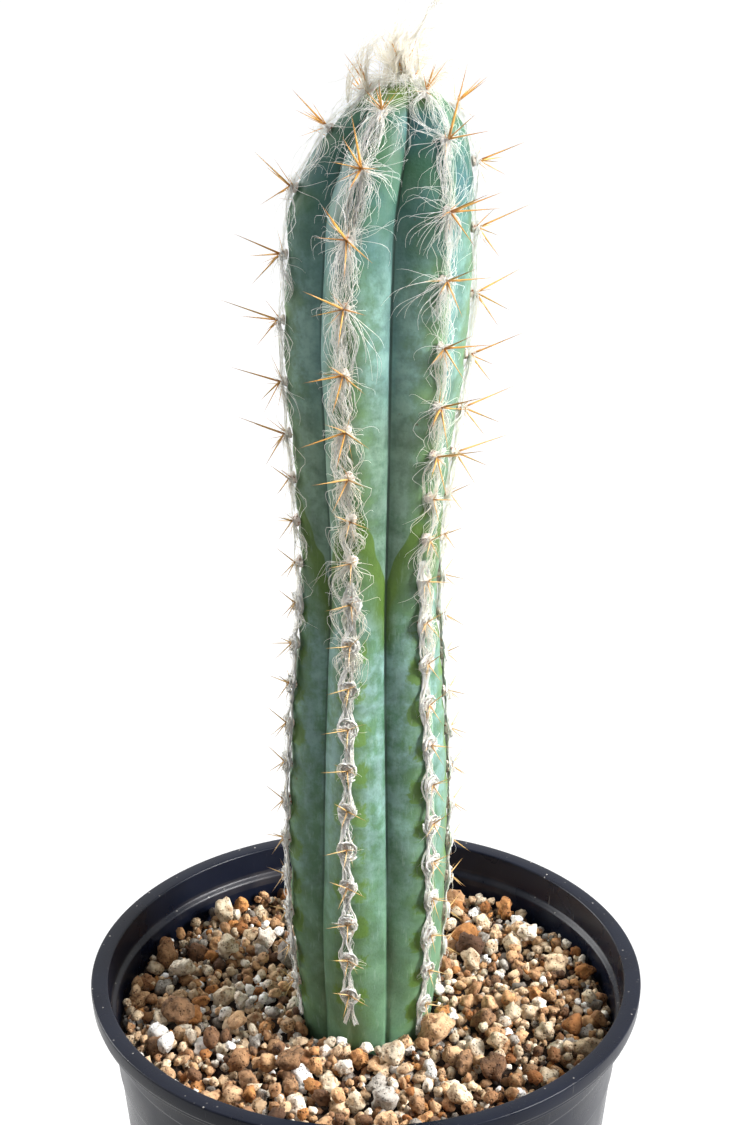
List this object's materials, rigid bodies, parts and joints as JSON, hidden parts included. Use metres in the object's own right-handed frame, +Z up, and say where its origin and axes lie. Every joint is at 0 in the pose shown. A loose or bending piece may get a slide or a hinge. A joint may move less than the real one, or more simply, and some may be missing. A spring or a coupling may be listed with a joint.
{
  "type": "potted blue torch cactus",
  "caption": "Ribbed blue-green columnar cactus with woolly, spined crests and a white tuft, rooted in gravel-topped soil in a plain black nursery pot.",
  "frame": {"origin": "centre of the pot's flat base, on the surface that it stands on", "axes": "+Z up along the pot's axis; -Y towards the viewer of the picture, whose right is +X, the way the stem leans"},
  "size_m": [0.165, 0.165, 0.4401],
  "materials": {
    "black_plastic": "satin",
    "pumice_gravel": "matte",
    "cactus_skin": "satin",
    "spined_wool": "matte"
  },
  "bodies": {
    "root": {"pot": "black_plastic", "soil": "pumice_gravel", "stem": "cactus_skin", "wool_rib_1": "spined_wool", "wool_rib_2": "spined_wool", "wool_rib_3": "spined_wool", "wool_rib_4": "spined_wool", "wool_rib_5": "spined_wool", "wool_rib_6": "spined_wool", "wool_tip": "spined_wool"}
  },
  "joints": []
}
